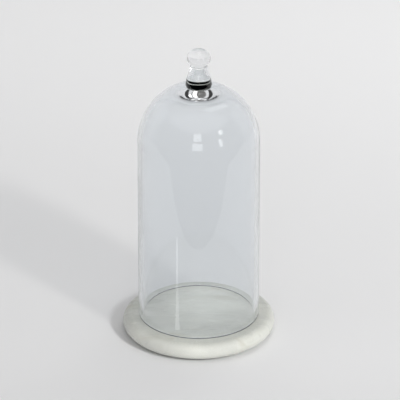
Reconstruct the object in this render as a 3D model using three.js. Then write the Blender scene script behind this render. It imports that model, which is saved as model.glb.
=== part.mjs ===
// Bell jar dome: a tall blown glass dome with a solid glass knob, standing on a
// round marble base. Millimetres, +Z up, the origin on the floor under the axis.
import * as THREE from "three";

// ---- base ----------------------------------------------------------------
const BASE_OVERHANG = 18;         // marble showing outside the glass, all round
const BASE_THICKNESS = 20;        // its edge is one full half round

// ---- pads under the base -------------------------------------------------
const PAD_COUNT = 4;
const PAD_DIAMETER = 12;
const PAD_THICKNESS = 2;
const PAD_INSET = 29;             // from the base's edge to the middle of a pad
const PAD_EDGE_ROUND = 0.4;

// ---- glass dome ----------------------------------------------------------
const DOME_DIAMETER = 142;        // outside the glass
const DOME_WALL = 5.5;
const DOME_STRAIGHT_HEIGHT = 222; // the cylinder below the half-sphere top
const CROWN_THICKENING = 7;       // extra glass left inside the crown, under the knob
const CROWN_SPREAD = 29;          // how far from the axis most of that glass reaches
const RIM_ROUND = 1.6;            // fire-polished corners of the open rim

// ---- knob ----------------------------------------------------------------
const KNOB_HEIGHT = 46;           // from the seat on the dome to the top
const KNOB_HEAD_DIAMETER = 27.4;  // a ball, slightly flattened
const KNOB_HEAD_HEIGHT = 21.3;
const KNOB_NECK_DIAMETER = 19.8;
const KNOB_FOOT_DIAMETER = 30.2;  // the widest part of the flare
const KNOB_FOOT_RISE = 2.4;       // from the seat up to that widest part
const KNOB_SEAT_DIAMETER = 29.4;  // the flat face that is fused to the dome
const NECK_GROOVE_WIDTH = 1.6;    // the line pressed in right under the head
const NECK_GROOVE_DEPTH = 0.5;
const SEAT_MARGIN = 0.25;         // the dome's flat seat reaches this far past that face

// ---- how finely the round shapes are cut ----------------------------------
const DOME_SEGMENTS = 80;
const KNOB_SEGMENTS = 56;
const BASE_SEGMENTS = 80;
const PAD_SEGMENTS = 24;
const CROWN_STEPS = 18;
const EDGE_STEPS = 14;
const ROUND_STEPS = 3;
const HEAD_STEPS = 16;
const FOOT_STEPS = 3;
const FLARE_STEPS = 10;
const GROOVE_STEPS = 4;

// ---- levels that follow from the sizes above -------------------------------
const DOME_RADIUS = DOME_DIAMETER / 2;
const INNER_RADIUS = DOME_RADIUS - DOME_WALL;
const BASE_RADIUS = DOME_RADIUS + BASE_OVERHANG;
const BASE_BOTTOM_Z = PAD_THICKNESS;
const BASE_TOP_Z = BASE_BOTTOM_Z + BASE_THICKNESS;
const CROWN_CENTRE_Z = BASE_TOP_Z + DOME_STRAIGHT_HEIGHT;
const SEAT_RADIUS = KNOB_SEAT_DIAMETER / 2 + SEAT_MARGIN;
const SEAT_Z = CROWN_CENTRE_Z + Math.sqrt(DOME_RADIUS ** 2 - SEAT_RADIUS ** 2);

// An arc of points about (cx, cz), from one angle to another, both ends included.
function arc(cx, cz, rx, rz, from, to, steps) {
  const points = [];
  for (let i = 0; i <= steps; i += 1) {
    const angle = from + ((to - from) * i) / steps;
    points.push(new THREE.Vector2(cx + rx * Math.cos(angle), cz + rz * Math.sin(angle)));
  }
  return points;
}

// Turns a half section about the Z axis. Points that fall on the axis are put
// exactly on it, so the solid closes there.
function turned(profile, segments) {
  const onAxis = 1e-9;
  const points = profile.map((p) => new THREE.Vector2(p.x < onAxis ? 0 : p.x, p.y));
  const geometry = new THREE.LatheGeometry(points, segments);
  geometry.rotateX(Math.PI / 2);
  return geometry;
}

// The disc: flat underneath and on top, the edge a full half round.
function marbleBase() {
  const half = BASE_THICKNESS / 2;
  const edgeCentre = BASE_RADIUS - half;
  return turned([
    new THREE.Vector2(0, BASE_BOTTOM_Z),
    ...arc(edgeCentre, BASE_BOTTOM_Z + half, half, half, -Math.PI / 2, Math.PI / 2, EDGE_STEPS),
    new THREE.Vector2(0, BASE_TOP_Z),
  ], BASE_SEGMENTS);
}

// One round self-adhesive pad, standing on the floor and touching the marble.
function pad(index) {
  const radius = PAD_DIAMETER / 2;
  const round = PAD_EDGE_ROUND;
  const geometry = turned([
    new THREE.Vector2(0, 0),
    ...arc(radius - round, round, round, round, -Math.PI / 2, 0, ROUND_STEPS),
    new THREE.Vector2(radius, PAD_THICKNESS),
    new THREE.Vector2(0, PAD_THICKNESS),
  ], PAD_SEGMENTS);
  const angle = (index * 2 * Math.PI) / PAD_COUNT;
  const reach = BASE_RADIUS - PAD_INSET;
  geometry.translate(reach * Math.cos(angle), reach * Math.sin(angle), 0);
  return geometry;
}

// A point of the inner half sphere, let down by the extra glass under the knob.
function sagged(point) {
  const drop = CROWN_THICKENING * Math.exp(-((point.x / CROWN_SPREAD) ** 2));
  return new THREE.Vector2(point.x, point.y - drop);
}

// The dome, from the thick glass under the knob down the inside to the rim, and
// back up the outside to the flat seat of the knob.
function glassDome() {
  const z = CROWN_CENTRE_Z;
  const outerEnd = Math.acos(SEAT_RADIUS / DOME_RADIUS);
  const rim = BASE_TOP_Z + RIM_ROUND;
  const inside = arc(0, z, INNER_RADIUS, INNER_RADIUS, Math.PI / 2, 0, CROWN_STEPS).map(sagged);
  const outside = arc(0, z, DOME_RADIUS, DOME_RADIUS, 0, outerEnd, CROWN_STEPS);
  return turned([
    ...inside,
    ...arc(INNER_RADIUS + RIM_ROUND, rim, RIM_ROUND, RIM_ROUND, Math.PI, 1.5 * Math.PI, ROUND_STEPS),
    ...arc(DOME_RADIUS - RIM_ROUND, rim, RIM_ROUND, RIM_ROUND, -Math.PI / 2, 0, ROUND_STEPS),
    ...outside,
    new THREE.Vector2(0, SEAT_Z),
  ], DOME_SEGMENTS);
}

// The solid knob: flat seat, round-edged foot, flared stem, pressed groove, flattened ball.
function glassKnob() {
  const foot = KNOB_FOOT_DIAMETER / 2;
  const neck = KNOB_NECK_DIAMETER / 2;
  const headRadius = KNOB_HEAD_DIAMETER / 2;
  const headHalf = KNOB_HEAD_HEIGHT / 2;
  const headZ = SEAT_Z + KNOB_HEIGHT - headHalf;
  const headStart = -Math.acos(neck / headRadius);
  const grooveTop = headZ + headHalf * Math.sin(headStart);
  const grooveBottom = grooveTop - NECK_GROOVE_WIDTH;
  const seat = KNOB_SEAT_DIAMETER / 2;
  const flareBottom = SEAT_Z + KNOB_FOOT_RISE;
  const flareHeight = grooveBottom - flareBottom;
  const footLowReach = 0.2;   // where on the foot's round edge its two pulls sit
  const footHighReach = 0.5;
  const edge = new THREE.CubicBezierCurve(
    new THREE.Vector2(seat, SEAT_Z),
    new THREE.Vector2(seat, SEAT_Z + footLowReach * KNOB_FOOT_RISE),
    new THREE.Vector2(foot, SEAT_Z + footHighReach * KNOB_FOOT_RISE),
    new THREE.Vector2(foot, flareBottom),
  );
  const lowerPull = 0.945;    // the share of the foot's extra width that each pull keeps
  const upperPull = 0.13;
  const lowerReach = 0.38;    // where along the stem the two pulls sit
  const upperReach = 0.61;
  const extra = foot - neck;
  const flare = new THREE.CubicBezierCurve(
    new THREE.Vector2(foot, flareBottom),
    new THREE.Vector2(neck + lowerPull * extra, flareBottom + lowerReach * flareHeight),
    new THREE.Vector2(neck + upperPull * extra, flareBottom + upperReach * flareHeight),
    new THREE.Vector2(neck, grooveBottom),
  );
  const grooveMiddle = (grooveTop + grooveBottom) / 2;
  const groove = arc(
    neck, grooveMiddle, NECK_GROOVE_DEPTH, NECK_GROOVE_WIDTH / 2,
    1.5 * Math.PI, Math.PI / 2, GROOVE_STEPS,
  );
  return turned([
    new THREE.Vector2(0, SEAT_Z),
    ...edge.getPoints(FOOT_STEPS),
    ...flare.getPoints(FLARE_STEPS).slice(1),
    ...groove.slice(1, -1),
    ...arc(0, headZ, headRadius, headHalf, headStart, Math.PI / 2, HEAD_STEPS),
  ], KNOB_SEGMENTS);
}

function piece(name, geometry, color, roughness) {
  const material = new THREE.MeshStandardMaterial({ color, roughness, metalness: 0 });
  const mesh = new THREE.Mesh(geometry, material);
  mesh.name = name;
  return mesh;
}

const group = new THREE.Group();
group.add(piece("marble_base", marbleBase(), 0xe3e2dc, 0.35));
group.add(piece("glass_dome", glassDome(), 0xdfe7ea, 0.03));
group.add(piece("glass_knob", glassKnob(), 0xe6edef, 0.03));
for (let i = 0; i < PAD_COUNT; i += 1) {
  group.add(piece(`base_pad_${i + 1}`, pad(i), 0x3a3a3a, 0.8));
}

export default group;
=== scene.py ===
# %% [markdown]
# # A bell jar dome on a marble base
#
# The object is a tall dome of clear blown glass with a solid glass knob, standing loose on a
# turned disc of white marble. Everything here is either glass or polished stone, so almost all
# that can be seen of it is light: light bent at the edges of the glass, mirrored in its wall, and
# let a little way into the marble. The lesson is about getting the thickness of the glass right
# first, and only then its colour.
#
# We begin by loading the frame, which holds the exact solids of the design, and by writing down
# the sizes that the visible pieces share with it. All lengths are in metres.

import math

import bmesh
import bpy
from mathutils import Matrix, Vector


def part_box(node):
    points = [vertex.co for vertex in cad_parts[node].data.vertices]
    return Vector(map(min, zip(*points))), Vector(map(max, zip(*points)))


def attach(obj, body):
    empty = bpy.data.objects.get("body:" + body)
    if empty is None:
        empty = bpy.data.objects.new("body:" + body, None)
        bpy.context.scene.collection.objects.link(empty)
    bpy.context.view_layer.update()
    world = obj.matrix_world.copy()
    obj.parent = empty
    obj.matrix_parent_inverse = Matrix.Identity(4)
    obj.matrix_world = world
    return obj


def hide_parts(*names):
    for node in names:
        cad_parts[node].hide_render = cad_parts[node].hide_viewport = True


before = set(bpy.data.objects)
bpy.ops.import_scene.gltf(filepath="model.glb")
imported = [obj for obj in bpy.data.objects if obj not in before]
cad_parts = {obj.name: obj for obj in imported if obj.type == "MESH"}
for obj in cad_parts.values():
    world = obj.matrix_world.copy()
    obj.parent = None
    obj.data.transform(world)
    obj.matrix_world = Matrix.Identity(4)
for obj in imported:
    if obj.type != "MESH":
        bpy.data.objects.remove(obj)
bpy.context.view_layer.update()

# %% [markdown]
# ## Sizes that the frame already knows
#
# Each solid's lowest and highest corners give the radii and the levels where the pieces meet. The
# visible pieces are drawn again, finer, from these numbers, so they stand exactly where the
# design's solids stand.

# %% Sizes read from the frame
base_low, base_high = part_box("marble_base")
pad_low, pad_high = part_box("base_pad_1")

base_radius = base_high.x
base_bottom, base_top = base_low.z, base_high.z
dome_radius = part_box("glass_dome")[1].x
knob_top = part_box("glass_knob")[1].z
pad_ring = (pad_low.x + pad_high.x) / 2  # from the axis to the middle of a pad
pad_radius = (pad_high.x - pad_low.x) / 2
pad_height = pad_high.z
print(f"dome {2000 * dome_radius:.0f} mm across, knob top at {1000 * knob_top:.1f} mm")

# %% [markdown]
# ## Writing node maths as Python
#
# Node trees are quick to draw by hand and slow to write out, because every sum needs a node and
# two links. A small class that wraps a socket makes them readable again: when we write `a * b + 1`
# on wrapped sockets, each operator adds its own Math node. The reflected forms, such as
# `__rsub__`, make `1 - mask` work as well. Any other node comes from one method, which takes the
# node's type, its settings and what goes into its sockets.


# %% A wrapped socket and a tree that makes nodes
class Value:
    """One output socket. Arithmetic on it adds Math nodes to its tree."""

    def __init__(self, tree, socket):
        self.tree, self.socket = tree, socket

    def _math(self, operation, *others):
        settings = {"operation": operation}
        return self.tree.node("ShaderNodeMath", settings, dict(enumerate(others)))[0]

    def __add__(self, other):
        return self._math("ADD", self, other)

    def __radd__(self, other):
        return self._math("ADD", other, self)

    def __sub__(self, other):
        return self._math("SUBTRACT", self, other)

    def __rsub__(self, other):
        return self._math("SUBTRACT", other, self)

    def __mul__(self, other):
        return self._math("MULTIPLY", self, other)

    def __rmul__(self, other):
        return self._math("MULTIPLY", other, self)

    def __truediv__(self, other):
        return self._math("DIVIDE", self, other)

    def __rtruediv__(self, other):
        return self._math("DIVIDE", other, self)

    def __mod__(self, other):
        return self._math("MODULO", self, other)

    def __pow__(self, other):
        return self._math("POWER", self, other)

    def __gt__(self, other):
        return self._math("GREATER_THAN", self, other)

    def __lt__(self, other):
        return self._math("LESS_THAN", self, other)

    def floor(self):
        return self._math("FLOOR", self)

    def sin(self):
        return self._math("SINE", self)

    def cos(self):
        return self._math("COSINE", self)


class Made(list):
    """The outputs of one node, by number or by name."""

    def __init__(self, tree, node):
        super().__init__(Value(tree, s) for s in node.outputs)
        self.tree, self.made = tree, node

    def out(self, name):
        return Value(self.tree, self.made.outputs[name])


class Tree:
    """Adds nodes to one node tree."""

    def __init__(self, nodes_and_links):
        self.nt = nodes_and_links

    def node(self, kind, settings=None, sockets=None):
        made = self.nt.nodes.new(kind)
        for name, value in (settings or {}).items():
            if name == "stops":
                self._set_stops(made.color_ramp, value)
            else:
                setattr(made, name, value)
        for key, value in (sockets or {}).items():
            self.feed(made.inputs[key], value)
        return Made(self, made)

    def feed(self, socket, value):
        if isinstance(value, Value):
            self.nt.links.new(value.socket, socket)
        else:
            socket.default_value = value

    @staticmethod
    def _set_stops(ramp, stops):
        while len(ramp.elements) < len(stops):
            ramp.elements.new(0.5)
        for element, (position, colour) in zip(ramp.elements, stops):
            element.position = position
            element.color = (*colour, 1.0)


def separate(tree, vector):
    """The X, Y and Z of a vector."""
    return tree.node("ShaderNodeSeparateXYZ", None, {0: vector})


def mix_colours(tree, share, a, b):
    """Colour a, going over to colour b as share goes from 0 to 1."""
    # the node's two colour sockets are its numbers 6 and 7, and its colour output is number 2
    return tree.node("ShaderNodeMix", {"data_type": "RGBA"}, {0: share, 6: a, 7: b})[2]


def smooth_step(tree, value, start, end):
    """A soft step from 0 at start to 1 at end."""
    ends = {"Value": value, "From Min": start, "From Max": end}
    return tree.node("ShaderNodeMapRange", {"interpolation_type": "SMOOTHSTEP"}, ends)[0]


print("node helpers ready")

# %% [markdown]
# ## Materials
#
# **Clear glass.** Two shaders are mixed by the Light Path node. The camera and every mirrored or
# bent ray meet a Principled shader with full transmission. Lamps meet a faintly tinted
# Transparent shader instead, so that their light reaches the marble through the dome as it does
# on a real table, without tracing caustics. Blown glass is never quite even: a very low, wide bump
# makes the reflections wander a little, and a faint breath of roughness varies with it.


# %% Clear glass
glass_ior = 1.52  # soda-lime glass
faintest_haze = 0.01  # the most roughness anywhere on the glass


def new_material(name):
    material = bpy.data.materials.new(name)
    material.use_nodes = True
    material.node_tree.nodes.clear()
    return material, Tree(material.node_tree)


def clear_glass(name, tint, lamp_tint, wave_size, wave_height, seed):
    material, t = new_material(name)
    place = t.node("ShaderNodeTexCoord").out("Object")
    waves = t.node(
        "ShaderNodeTexNoise",
        {"noise_dimensions": "4D"},
        {"Vector": place, "W": seed, "Scale": 1 / wave_size, "Detail": 1.0, "Roughness": 0.4},
    ).out("Fac")
    bump = t.node("ShaderNodeBump", None, {"Height": waves, "Distance": wave_height, "Strength": 1.0})
    shade = t.node(
        "ShaderNodeBsdfPrincipled",
        None,
        {
            "Base Color": (*tint, 1.0),
            "Roughness": waves * faintest_haze,
            "IOR": glass_ior,
            "Transmission Weight": 1.0,
            "Normal": bump.out("Normal"),
        },
    )[0]
    lamp_side = t.node("ShaderNodeBsdfTransparent", None, {"Color": (*lamp_tint, 1.0)})[0]
    is_lamp = t.node("ShaderNodeLightPath").out("Is Shadow Ray")
    mixed = t.node("ShaderNodeMixShader", None, {0: is_lamp, 1: shade, 2: lamp_side})[0]
    t.node("ShaderNodeOutputMaterial", None, {"Surface": mixed})
    return material


light_kept = (0.88, 0.885, 0.89)  # the share of lamp light that one face of the glass lets through
dome_glass = clear_glass(
    "blown_dome_glass",
    tint=(0.917, 0.937, 0.953),
    lamp_tint=light_kept,
    wave_size=0.06,
    wave_height=0.0002,
    seed=3.0,
)
knob_glass = clear_glass(
    "solid_knob_glass",
    tint=(0.985, 0.992, 0.994),
    lamp_tint=light_kept,
    wave_size=0.02,
    wave_height=0.00003,
    seed=8.0,
)
print("glass materials ready")


# %% [markdown]
# **Fused contact.** The knob is applied hot, so where it sits the two pieces are one body of
# glass and light crosses without noticing. We keep two closed meshes, because they are two
# pieces of the design, and give only the two faces that meet there a shader with no surface at all.


# %% Fused contact
def fused_contact():
    material, t = new_material("fused_contact")
    shade = t.node(
        "ShaderNodeBsdfPrincipled",
        None,
        {"Base Color": (0.98, 0.99, 0.99, 1.0), "Alpha": 0.0},
    )[0]
    t.node("ShaderNodeOutputMaterial", None, {"Surface": shade})
    return material


contact = fused_contact()
print("contact material ready")


# %% [markdown]
# ** Marble.** White marble is a pale body colour with clouds of grey-green and a few soft veins that
# run slantwise. The clouds are one broad noise; the veins are bands of a second noise, taken where
# it passes its middle value, so they wander and fade as real ones do, and a third noise keeps them
# to a few patches. On the top under the dome, a little behind the middle, a broad patch of painted
# light makes the stone lighter where light comes through the glass. The turned edge carries a
# painted highlight: its colour is made lighter towards the outside. The stone scatters some light just
# under its skin, and its surface is slightly duller in the veins.


# %% Marble
block_place = (2.22, 3.18, 0.66)  # where in the block the disc was cut
painted_light_middle = (0.015, 0.030)  # the middle of the painted light on the top under the dome


def marble():
    material, t = new_material("honed_white_marble")
    place = t.node("ShaderNodeTexCoord").out("Object")
    slanted = t.node(
        "ShaderNodeMapping",
        None,
        {
            "Vector": place,
            "Location": block_place,
            "Rotation": (0.3, 0.2, 0.9),
            "Scale": (1.0, 2.6, 1.4),
        },
    )[0]
    clouds = t.node(
        "ShaderNodeTexNoise", None, {"Vector": slanted, "Scale": 9.0, "Detail": 5.0, "Roughness": 0.55}
    ).out("Fac")
    wander = t.node(
        "ShaderNodeTexNoise", None, {"Vector": slanted, "Scale": 11.0, "Detail": 3.0, "Roughness": 0.5}
    ).out("Fac")
    distance = t.node("ShaderNodeMath", {"operation": "ABSOLUTE"}, {0: wander - 0.5})[0]
    vein = t.node(
        "ShaderNodeMapRange",
        {"interpolation_type": "SMOOTHSTEP"},
        {"Value": distance, "From Min": 0.0, "From Max": 0.05, "To Min": 1.0, "To Max": 0.0},
    )[0]
    patches = t.node(
        "ShaderNodeTexNoise", None, {"Vector": slanted, "Scale": 8.0, "Detail": 2.0}
    ).out("Fac")
    patch_mask = t.node(
        "ShaderNodeMapRange",
        {"interpolation_type": "SMOOTHSTEP"},
        {"Value": patches, "From Min": 0.48, "From Max": 0.62},
    )[0]
    body = t.node(
        "ShaderNodeValToRGB",
        {
            "stops": [
                (0.30, (0.39, 0.41, 0.365)),
                (0.48, (0.51, 0.52, 0.48)),
                (0.66, (0.61, 0.62, 0.565)),
            ]
        },
        {"Fac": clouds},
    ).out("Color")
    across, along = separate(t, place)[:2]
    reach = (across * across + along * along) ** 0.5
    # painted highlight: the turned edge is made lighter, standing in for lamp light on the rounding
    painted_edge_highlight = smooth_step(t, reach, base_radius - 0.007, base_radius - 0.001) * 0.2
    # painted light: the top under the dome, a little behind the middle, is made lighter in place of the
    # light that comes through the glass
    off_centre = ((across - painted_light_middle[0]) ** 2 + (along - painted_light_middle[1]) ** 2) ** 0.5
    pale = smooth_step(t, off_centre, 0.070, 0.015) * 0.6
    body_and_painted_light = mix_colours(t, pale, body, (0.83, 0.845, 0.78, 1.0))
    lit_body = mix_colours(t, painted_edge_highlight, body_and_painted_light, (0.97, 0.96, 0.91, 1.0))
    colour = mix_colours(t, vein * patch_mask * 0.5, lit_body, (0.44, 0.42, 0.34, 1.0))
    grain = t.node(
        "ShaderNodeTexNoise", None, {"Vector": place, "Scale": 900.0, "Detail": 2.0}
    ).out("Fac")
    bump = t.node("ShaderNodeBump", None, {"Height": grain, "Distance": 0.00002, "Strength": 0.3})
    shade = t.node(
        "ShaderNodeBsdfPrincipled",
        None,
        {
            "Base Color": colour,
            "Roughness": 0.24 + vein * 0.1 + grain * 0.06,
            "IOR": 1.5,
            "Subsurface Weight": 0.15,
            "Subsurface Radius": (0.006, 0.006, 0.005),
            "Subsurface Scale": 1.0,
            "Normal": bump.out("Normal"),
        },
    )[0]
    t.node("ShaderNodeOutputMaterial", None, {"Surface": shade})
    return material


stone = marble()
print("marble ready")


# %% [markdown]
# **Felt pads.** Dark, matt and slightly hairy. They are only seen from below.


# %% Pads
def pad_felt():
    material, t = new_material("dark_pad")
    place = t.node("ShaderNodeTexCoord").out("Object")
    fibres = t.node(
        "ShaderNodeTexNoise", None, {"Vector": place, "Scale": 1500.0, "Detail": 4.0}
    ).out("Fac")
    dark_and_pale = [(0.3, (0.02, 0.02, 0.02)), (0.7, (0.07, 0.07, 0.065))]
    colour = t.node("ShaderNodeValToRGB", {"stops": dark_and_pale}, {"Fac": fibres}).out("Color")
    bump = t.node("ShaderNodeBump", None, {"Height": fibres, "Distance": 0.0002, "Strength": 0.6})
    shade = t.node(
        "ShaderNodeBsdfPrincipled",
        None,
        {"Base Color": colour, "Roughness": 0.85 + fibres * 0.1, "Normal": bump.out("Normal")},
    )[0]
    t.node("ShaderNodeOutputMaterial", None, {"Surface": shade})
    return material


felt = pad_felt()
print("felt ready")

# %% [markdown]
# ## One rule for everything that is turned
#
# The dome, the knob and the base are all half sections turned about one axis. A Geometry Nodes
# tree states that rule once: it lays out a grid with one column for each point of the section and
# one row for each step round, looks up each column's radius and height on the section, and swings
# it to the row's angle. Hand-blown glass also strays a little from the true circle, so the tree
# has a waviness that pushes the radius in and out with a slow noise; turned stone sets it to zero.


# %% The turning tree
def add_inputs(group, sizes):
    """Named inputs for a tree, with the geometry in and out."""
    face = group.interface
    face.new_socket("Geometry", in_out="INPUT", socket_type="NodeSocketGeometry")
    for name, kind, value in sizes:
        socket = face.new_socket(name, in_out="INPUT", socket_type=kind)
        if value is not None:
            socket.default_value = value
    face.new_socket("Geometry", in_out="OUTPUT", socket_type="NodeSocketGeometry")


def turning_tree():
    group = bpy.data.node_groups.new("turned_shape", "GeometryNodeTree")
    add_inputs(
        group,
        [
            ("Steps Round", "NodeSocketInt", 96),
            ("Waviness", "NodeSocketFloat", 0.0),
            ("Wave Size", "NodeSocketFloat", 0.1),
            ("Seed", "NodeSocketFloat", 1.0),
            ("Fused Height", "NodeSocketFloat", -1.0),
            ("Fused Radius", "NodeSocketFloat", 0.0),
            ("Finish", "NodeSocketMaterial", None),
            ("Fused Finish", "NodeSocketMaterial", None),
        ],
    )
    t = Tree(group)
    given = t.node("NodeGroupInput")
    section = given.out("Geometry")
    steps = given.out("Steps Round")
    size = t.node("GeometryNodeAttributeDomainSize", {"component": "MESH"}, {"Geometry": section})
    count = size.out("Point Count")
    # rows run along the grid's Y, so a vertex's number counts down the rows first
    grid = t.node(
        "GeometryNodeMeshGrid",
        None,
        {"Size X": 1.0, "Size Y": 1.0, "Vertices X": count, "Vertices Y": steps + 1},
    )
    index = t.node("GeometryNodeInputIndex")[0]
    column = (index / (steps + 1)).floor()
    row = index % (steps + 1)
    angle = row * (2 * math.pi) / steps
    at = t.node("GeometryNodeInputPosition")[0]
    point = t.node(
        "GeometryNodeSampleIndex",
        {"data_type": "FLOAT_VECTOR", "domain": "POINT"},
        {"Geometry": section, "Index": column},
    )
    # the node has one value socket for each data type, and only the chosen type's is enabled
    t.feed(next(i for i in point.made.inputs if i.name == "Value" and i.enabled), at)
    where = separate(t, next(v for v in point if v.socket.enabled))
    radius, height = where[0], where[2]
    # the slow noise is read on a ring, so that it meets itself after one turn
    noise_ring = 0.1
    around = t.node(
        "ShaderNodeCombineXYZ",
        None,
        {0: angle.cos() * noise_ring, 1: angle.sin() * noise_ring, 2: height},
    )[0]
    stray = t.node(
        "ShaderNodeTexNoise",
        {"noise_dimensions": "4D"},
        {
            "Vector": around,
            "W": given.out("Seed"),
            "Scale": 1 / given.out("Wave Size"),
            "Detail": 0.0,
        },
    )[0]
    wavy = radius * (1 + (stray - 0.5) * given.out("Waviness"))
    turned = t.node(
        "ShaderNodeCombineXYZ", None, {0: wavy * angle.cos(), 1: wavy * angle.sin(), 2: height}
    )[0]
    placed = t.node("GeometryNodeSetPosition", None, {"Geometry": grid[0], "Position": turned})[0]
    outward = t.node("GeometryNodeFlipFaces", None, {0: placed})[0]
    closed = t.node("GeometryNodeMergeByDistance", None, {"Geometry": outward, "Distance": 1e-6})[0]
    smooth = t.node("GeometryNodeSetShadeSmooth", None, {"Geometry": closed})[0]
    edge_angle = t.node("GeometryNodeInputMeshEdgeAngle")[0]
    crisp = t.node(
        "GeometryNodeSetShadeSmooth",
        {"domain": "EDGE"},
        {"Geometry": smooth, "Selection": edge_angle > math.radians(35), "Shade Smooth": False},
    )[0]
    real = t.node("GeometryNodeRealizeInstances", None, {"Geometry": crisp})[0]
    finished = t.node(
        "GeometryNodeSetMaterial", None, {"Geometry": real, "Material": given.out("Finish")}
    )[0]
    # the faces where two pieces are fused get their own finish
    here = separate(t, at)
    above = here[2] - given.out("Fused Height")
    off_level = t.node("ShaderNodeMath", {"operation": "ABSOLUTE"}, {0: above})[0]
    flat_place = t.node("ShaderNodeCombineXYZ", None, {0: here[0], 1: here[1]})[0]
    reach = t.node("ShaderNodeVectorMath", {"operation": "LENGTH"}, {0: flat_place}).out("Value")
    fused = (off_level < 1e-5) * (reach < given.out("Fused Radius"))
    finished = t.node(
        "GeometryNodeSetMaterial",
        None,
        {"Geometry": finished, "Selection": fused, "Material": given.out("Fused Finish")},
    )[0]
    t.node("NodeGroupOutput", None, {0: finished})
    return group


turned_shape = turning_tree()
print("turning tree:", len(turned_shape.nodes), "nodes")


# %% [markdown]
# A section is a chain of edges in the XZ plane, and every piece starts as one. Its tree is run at
# once and the result is kept as a plain mesh, because a live modifier would not travel with the
# piece. We also measure what came out: a closed shape has no open edges, and its volume is
# positive only when all its faces point outwards.

# %% From a section to a finished piece
def section_object(name, points):
    """A chain of points (radius, height) in the XZ plane."""
    mesh = bpy.data.meshes.new(name)
    links = [(i, i + 1) for i in range(len(points) - 1)]
    mesh.from_pydata([(r, 0.0, z) for r, z in points], links, [])
    piece = bpy.data.objects.new(name, mesh)
    bpy.context.scene.collection.objects.link(piece)
    return piece


def drop_empty_slot(mesh):
    """The tree leaves an empty first material slot; the faces' numbers move down with it."""
    if mesh.materials[0] is None:
        numbers = [face.material_index - 1 for face in mesh.polygons]
        mesh.materials.pop(index=0)
        mesh.polygons.foreach_set("material_index", numbers)


def run_tree(piece, group, sizes):
    """Gives the piece a tree, sets its inputs by identifier, and keeps the result as a plain mesh."""
    modifier = piece.modifiers.new(group.name, "NODES")
    modifier.node_group = group
    names = {s.name: s.identifier for s in group.interface.items_tree if s.in_out == "INPUT"}
    for name, value in sizes.items():
        modifier[names[name]] = value
    bpy.context.view_layer.update()
    graph = bpy.context.evaluated_depsgraph_get()
    mesh = bpy.data.meshes.new_from_object(piece.evaluated_get(graph), depsgraph=graph)
    piece.modifiers.remove(modifier)
    piece.data = mesh
    drop_empty_slot(mesh)
    triangles = sum(len(p.vertices) - 2 for p in mesh.polygons)
    solid = bmesh.new()
    solid.from_mesh(mesh)
    volume = solid.calc_volume(signed=True) * 1e6
    loose = sum(not edge.is_manifold for edge in solid.edges)
    solid.free()
    finishes = [m.name for m in mesh.materials]
    print(f"{piece.name}: {triangles} triangles, {volume:.1f} cm3, {loose} open edges, {finishes}")
    return piece


def arc(centre_r, centre_z, radius_r, radius_z, start, end, steps):
    """Points of an arc in the section, both ends included, angles in radians."""
    return [
        (
            centre_r + radius_r * math.cos(start + (end - start) * i / steps),
            centre_z + radius_z * math.sin(start + (end - start) * i / steps),
        )
        for i in range(steps + 1)
    ]


def upright(radius, low, high, steps):
    """Points up or down a straight wall, both ends left out."""
    return [(radius, low + (high - low) * i / steps) for i in range(1, steps)]


print("section helpers ready")

# %% [markdown]
# ## The glass dome
#
# A gather of glass is blown into a cylinder with a round end, cut off at the open side, and its
# rim is melted smooth. The wall is even down the side, but more glass is left inside the crown,
# where the knob is stuck on. That extra glass is what makes the mirror-like ellipse under the
# knob: light that comes in beside the foot strikes the underside too obliquely to leave. So the
# inner half sphere is let down towards the axis by an amount that fades away smoothly, in the
# shape of a bell curve. A smooth fade matters, because any kink in clear glass shows as a line.
#
# The two faces of the wall are drawn together in one closed section, so the glass has its real
# thickness everywhere and the light bends twice, as it should.

# %% Dome section
wall = 0.0055
crown_thickening = 0.007  # the extra glass on the axis
crown_spread = 0.029  # how far from the axis most of it reaches
rim_round = 0.0016
rim_gap = 0.00012  # polished glass on stone rests on a few high points, with air between
straight_height = 0.222
seat_radius = 0.0147  # the flat where knob and dome are one glass
seat_reach = seat_radius * 1.01
inner_radius = dome_radius - wall
crown_centre = base_top + straight_height
round_level = base_top + rim_gap + rim_round  # where the wall goes over into the rim's rounding

outer_end = math.acos(seat_radius / dome_radius)
dome_seat = crown_centre + dome_radius * math.sin(outer_end)


def sagged(point):
    """A point of the inner half sphere, let down by the extra glass under the knob."""
    r, z = point
    return r, z - crown_thickening * math.exp(-((r / crown_spread) ** 2))


dome_section = (
    [sagged(p) for p in arc(0, crown_centre, inner_radius, inner_radius, math.pi / 2, 0, 90)]
    + upright(inner_radius, crown_centre, round_level, 24)
    + arc(inner_radius + rim_round, round_level, rim_round, rim_round, math.pi, 1.5 * math.pi, 8)
    + arc(dome_radius - rim_round, round_level, rim_round, rim_round, -math.pi / 2, 0, 8)
    + upright(dome_radius, round_level, crown_centre, 24)
    + arc(0, crown_centre, dome_radius, dome_radius, 0, outer_end, 60)
    + [(seat_radius * i / 6, dome_seat) for i in range(5, -1, -1)]
)
dome = run_tree(
    section_object("dome_body", dome_section),
    turned_shape,
    {
        "Steps Round": 256,
        "Waviness": 0.004,
        "Wave Size": 0.09,
        "Seed": 2.0,
        "Fused Height": dome_seat,
        "Fused Radius": seat_reach,
        "Finish": dome_glass,
        "Fused Finish": contact,
    },
)

# %% [markdown]
# ## The knob
#
# A small gather is dropped on the hot crown, necked with the jacks, which leave the pressed line
# under the head, and the head is rounded in a block. The foot flares and turns under a little
# where it melts into the crown. The stem and the foot are each one cubic curve, because molten
# glass has no corners, and the head is most of an ellipse. Solid glass of this shape mirrors its
# own inside, which gives the dark band at the foot with no other material in it.

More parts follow.
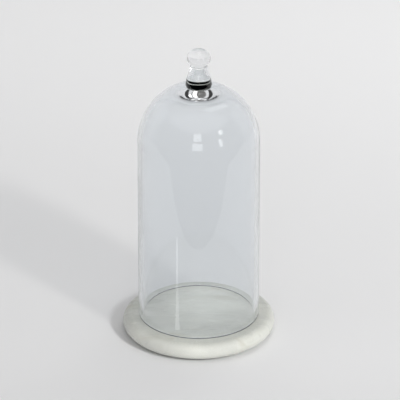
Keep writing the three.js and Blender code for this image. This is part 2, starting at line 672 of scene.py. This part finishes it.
# %% Knob section
head_radius = 0.0137
head_half = 0.01065  # half the height of the flattened ball
neck_radius = 0.0099
groove_width = 0.0016
groove_depth = 0.0005
foot_rise = 0.0024  # from the seat up to the widest part
foot_widest = 0.0151
foot_pull_low = 0.2
foot_pull_high = 0.5
head_centre = knob_top - head_half
head_start = -math.acos(neck_radius / head_radius)
groove_top = head_centre + head_half * math.sin(head_start)
groove_low = groove_top - groove_width


def pulled_curve(a, b, c, d, steps):
    """Points of a cubic curve from a to d, pulled towards b and c."""
    points = []
    for i in range(steps + 1):
        u = i / steps
        w = ((1 - u) ** 3, 3 * u * (1 - u) ** 2, 3 * u**2 * (1 - u), u**3)
        points.append(tuple(sum(k * p[n] for k, p in zip(w, (a, b, c, d))) for n in (0, 1)))
    return points


flare_low = dome_seat + foot_rise
flare_rise = groove_low - flare_low
extra = foot_widest - neck_radius
foot_curve = pulled_curve(
    (seat_radius, dome_seat),
    (seat_radius, dome_seat + foot_pull_low * foot_rise),
    (foot_widest, dome_seat + foot_pull_high * foot_rise),
    (foot_widest, flare_low),
    12,
)
flare = pulled_curve(
    (foot_widest, flare_low),
    (neck_radius + 0.945 * extra, flare_low + 0.38 * flare_rise),
    (neck_radius + 0.13 * extra, flare_low + 0.61 * flare_rise),
    (neck_radius, groove_low),
    28,
)
groove_middle = (groove_top + groove_low) / 2
groove = arc(
    neck_radius, groove_middle, groove_depth, groove_width / 2, 1.5 * math.pi, math.pi / 2, 10
)
knob_section = (
    [(seat_radius * i / 6, dome_seat) for i in range(6)]
    + foot_curve
    + flare[1:]
    + groove[1:-1]
    + arc(0, head_centre, head_radius, head_half, head_start, math.pi / 2, 56)
)
knob_section[-1] = (0.0, knob_top)
knob = run_tree(
    section_object("knob_body", knob_section),
    turned_shape,
    {
        "Steps Round": 128,
        "Waviness": 0.006,
        "Wave Size": 0.06,
        "Seed": 5.0,
        "Fused Height": dome_seat,
        "Fused Radius": seat_reach,
        "Finish": knob_glass,
        "Fused Finish": contact,
    },
)

# %% [markdown]
# ## The marble base
#
# The disc is turned, so the same tree makes it. Its edge is a full half round that runs straight
# into the flat top.

# %% Base section
half = (base_top - base_bottom) / 2
edge_centre = base_radius - half
base_section = (
    [(edge_centre * i / 16, base_bottom) for i in range(16)]
    + arc(edge_centre, base_bottom + half, half, half, -math.pi / 2, math.pi / 2, 40)
    + [(edge_centre * i / 16, base_top) for i in range(15, -1, -1)]
)
disc = run_tree(
    section_object("base_disc", base_section),
    turned_shape,
    {"Steps Round": 192, "Finish": stone, "Fused Finish": stone},
)

# %% [markdown]
# ## Pads under the base
#
# Four equal pads repeat round a circle, which is a job for instances: a tree makes one pad,
# puts it on the points of a circle, and makes the copies real at its end.


# %% The pad ring
def pad_ring_tree():
    group = bpy.data.node_groups.new("pad_ring", "GeometryNodeTree")
    add_inputs(
        group,
        [
            ("Count", "NodeSocketInt", 4),
            ("Ring Radius", "NodeSocketFloat", 0.06),
            ("Pad Radius", "NodeSocketFloat", 0.006),
            ("Pad Height", "NodeSocketFloat", 0.002),
            ("Finish", "NodeSocketMaterial", None),
        ],
    )
    t = Tree(group)
    given = t.node("NodeGroupInput")
    ring = t.node(
        "GeometryNodeMeshCircle",
        None,
        {"Vertices": given.out("Count"), "Radius": given.out("Ring Radius")},
    )[0]
    pad = t.node(
        "GeometryNodeMeshCylinder",
        {"fill_type": "NGON"},
        {
            "Vertices": 48,
            "Side Segments": 1,
            "Fill Segments": 1,
            "Radius": given.out("Pad Radius"),
            "Depth": given.out("Pad Height"),
        },
    )[0]
    lift = t.node("ShaderNodeCombineXYZ", None, {2: given.out("Pad Height") / 2})[0]
    raised = t.node("GeometryNodeTransform", None, {"Geometry": pad, "Translation": lift})[0]
    spread = t.node("GeometryNodeInstanceOnPoints", None, {"Points": ring, "Instance": raised})[0]
    real = t.node("GeometryNodeRealizeInstances", None, {"Geometry": spread})[0]
    done = t.node("GeometryNodeSetMaterial", None, {"Geometry": real, "Material": given.out("Finish")})[0]
    t.node("NodeGroupOutput", None, {0: done})
    return group


pads = run_tree(
    section_object("pads", [(0.0, 0.0), (0.001, 0.0)]),
    pad_ring_tree(),
    {
        "Count": 4,
        "Ring Radius": pad_ring,
        "Pad Radius": pad_radius,
        "Pad Height": pad_height,
        "Finish": felt,
    },
)

# %% [markdown]
# ## The table, the light and the camera
#
# Clear glass shows its surroundings, so the surroundings are part of its look. We begin with the
# table: a pale matt sheet with painted light on it, its colour made lighter to the right and towards
# the back in place of the light falling off towards the front. Far away it goes over into the colour of
# the room, so that no horizon shows.
#
# The table is made twice. The large sheet is what the camera sees and what lies behind the glass.
# In polished glass, though, the front of a real table ends at its edge, and beyond it the dark
# room is mirrored. So a shorter sheet, seen by mirrored rays only, takes the large one's place in
# every reflection, and the place where it ends draws the soft change of tone down the dome.


# %% Table
room_tone = (0.74, 0.74, 0.75, 1.0)


def paper():
    material, t = new_material("pale_table")
    place = t.node("ShaderNodeTexCoord").out("Object")
    mottle = t.node("ShaderNodeTexNoise", None, {"Vector": place, "Scale": 3.0, "Detail": 2.0}).out("Fac")
    across, along = separate(t, place)[:2]
    # painted light: the sheet's colour is made lighter to the right and towards the back, in place of the
    # lamps' falloff
    painted_light_falloff = smooth_step(t, across, -0.35, 0.35) * 0.035
    for start, end, share in ((-0.24, -0.04, 0.04), (-0.45, 1.25, 0.20), (0.2, 0.9, 0.08)):
        painted_light_falloff = painted_light_falloff + smooth_step(t, along, start, end) * share
    bright = 0.752 * (1 + painted_light_falloff) + (mottle - 0.5) * 0.01
    colour = t.node("ShaderNodeCombineColor", None, {0: bright, 1: bright, 2: bright})[0]
    shade = t.node("ShaderNodeBsdfPrincipled", None, {"Base Color": colour, "Roughness": 0.8})[0]
    far = smooth_step(t, (across * across + along * along) ** 0.5, 1.0, 2.2)
    haze = t.node("ShaderNodeEmission", None, {"Color": room_tone})[0]
    melted = t.node("ShaderNodeMixShader", None, {0: far, 1: shade, 2: haze})[0]
    t.node("ShaderNodeOutputMaterial", None, {"Surface": melted})
    return material


def sheet(name, material, front, back, side, level):
    """A flat sheet lying level, from front to back, as wide on both sides."""
    mesh = bpy.data.meshes.new(name)
    corners = [(-side, front, level), (side, front, level), (side, back, level), (-side, back, level)]
    mesh.from_pydata(corners, [], [(0, 1, 2, 3)])
    mesh.materials.append(material)
    piece = bpy.data.objects.new(name, mesh)
    bpy.context.scene.collection.objects.link(piece)
    return piece


pale = paper()
table_top = sheet("table", pale, -8.0, 8.0, 8.0, 0.0)
table_top.visible_glossy = False
mirrored_table = sheet("table_in_reflections", pale, -0.345, 4.0, 3.0, 0.0002)
mirrored_table.visible_camera = mirrored_table.visible_diffuse = False
mirrored_table.visible_transmission = mirrored_table.visible_shadow = False
print("table ready")


# %% [markdown]
# ## The lamps
#
# Three soft boxes light the marble and the table: a key from the front right, which throws the
# shadow, a large one overhead and behind, and a low fill from the front, which reaches under the
# rounded edge of the base. Glass would mirror them as hard bright panels, so mirrored and bent
# rays don't see them. What the glass does mirror is a set of small, weak windows, placed where
# their images fall high on the dome, one window behind that only bent rays reach, and a narrow
# strip of light that lies on the table and draws one fine upright line in the wall.

# %% Light
def soft_light(name, azimuth, elevation, distance, width, height, power, aim=(0, 0, 0.15)):
    """A soft box at an angle round the object: azimuth 0 is the camera's side, 90 its right."""
    a, e = math.radians(azimuth), math.radians(elevation)
    way = Vector((math.sin(a) * math.cos(e), -math.cos(a) * math.cos(e), math.sin(e)))
    lamp = bpy.data.lights.new(name, "AREA")
    lamp.shape, lamp.size, lamp.size_y, lamp.energy = "RECTANGLE", width, height, power
    box = bpy.data.objects.new(name, lamp)
    box.location = Vector(aim) + way * distance
    box.rotation_euler = way.to_track_quat("Z", "Y").to_euler()
    bpy.context.scene.collection.objects.link(box)
    return box


key = soft_light("key_light", 40, 32, 6.0, 0.6, 1.0, 180)
sky = soft_light("overhead_light", 165, 70, 2.9, 2.4, 2.0, 15)
fill = soft_light("fill_light", 10, 7, 3.0, 2.4, 1.2, 18)
for lamp in (key, sky, fill):
    lamp.visible_glossy = lamp.visible_transmission = False
window_distance = 3.0
for name, azimuth, elevation, width, height, power in (
    ("window_low", -3, 14.5, 1.0, 0.75, 4.1),
    ("window_high", -3, 32.5, 0.75, 0.75, 3.4),
    ("spot_low", 44, 17, 0.30, 0.70, 2.0),
    ("spot_high", 51, 34, 0.40, 0.40, 1.8),
):
    soft_light(name, azimuth, elevation, window_distance, width, height, power)
window_back = soft_light("window_back", 150, 58, window_distance, 0.80, 1.60, 6.5)
window_back.visible_glossy = False
# seen from half a metre above its own middle, the strip is straight below and shines upwards
strip_aim = (-0.1437, -0.2025, 0.5)
strip = soft_light("strip_on_table", -41, -89.9, 0.499, 0.016, 0.245, 0.03, aim=strip_aim)
strip.visible_diffuse = strip.visible_transmission = False
print("lamps ready")

# %% [markdown]
# **The room.** Polished glass mirrors the room as much as it shows what is behind it. This room is
# dark in front of the table, where nobody lit it, bright overhead, and dark again high at the
# back. Only mirrored rays need that dark front, so that the object still stands against a pale
# ground from every other side: the Light Path node tells the two kinds of ray apart.


# %% Room
def room_light():
    world = bpy.data.worlds.new("room")
    bpy.context.scene.world = world
    world.use_nodes = True
    world.node_tree.nodes.clear()
    t = Tree(world.node_tree)
    direction = separate(t, t.node("ShaderNodeTexCoord").out("Generated"))
    ray = t.node("ShaderNodeLightPath")
    mirrored = ray.out("Is Glossy Ray") * (1 - ray.out("Is Transmission Ray"))
    in_front = smooth_step(t, direction[1], 0.25, -0.05)
    high = smooth_step(t, direction[2], 0.56, 0.70)
    low_glow = mix_colours(t, mirrored * in_front, room_tone, (0.03, 0.03, 0.035, 1.0))
    lit_ceiling = mirrored + in_front * (1 - mirrored)
    high_glow = mix_colours(t, lit_ceiling, (0.10, 0.095, 0.09, 1.0), (0.85, 0.85, 0.86, 1.0))
    glow = mix_colours(t, high, low_glow, high_glow)
    strength = 1 - ray.out("Is Diffuse Ray") * 0.45
    shade = t.node("ShaderNodeBackground", None, {"Color": glow, "Strength": strength})[0]
    t.node("ShaderNodeOutputWorld", None, {"Surface": shade})


room_light()
print("room ready")

# %% [markdown]
# ## The camera
#
# A long lens from well back keeps the sides of the dome upright. The camera looks down a little
# less steeply than it stands, so that the dome sits in the middle of the picture.

# %% Camera
cam_data = bpy.data.cameras.new("camera")
camera = bpy.data.objects.new("camera", cam_data)
bpy.context.scene.collection.objects.link(camera)
bpy.context.scene.camera = camera
stand_off = 4.64
seen_from = math.radians(27.66)  # height of the camera's side, measured at the base
looks_down = math.radians(26.04)
camera.location = (0, -stand_off * math.cos(seen_from), base_top + stand_off * math.sin(seen_from))
camera.rotation_euler = (math.pi / 2 - looks_down, 0, math.radians(-0.02))
cam_data.sensor_width = 36.0  # millimetres, as is the lens
cam_data.lens = 354.0
cam_data.clip_end = 60.0
bpy.context.scene.view_settings.view_transform = "Standard"
print("camera", [round(v, 3) for v in camera.location])

# %% [markdown]
# ## Handing the pieces over
#
# Each piece rides on a body of the design and stands for its solids, which are hidden.

# %% Ride and replace
for piece, body, slot, nodes in (
    (dome, "dome", "dome_glass", ["glass_dome"]),
    (knob, "dome", "knob_glass", ["glass_knob"]),
    (disc, "base", "marble", ["marble_base"]),
    (pads, "base", "pad", [f"base_pad_{n}" for n in range(1, 5)]),
):
    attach(piece, body)
    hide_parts(*nodes)
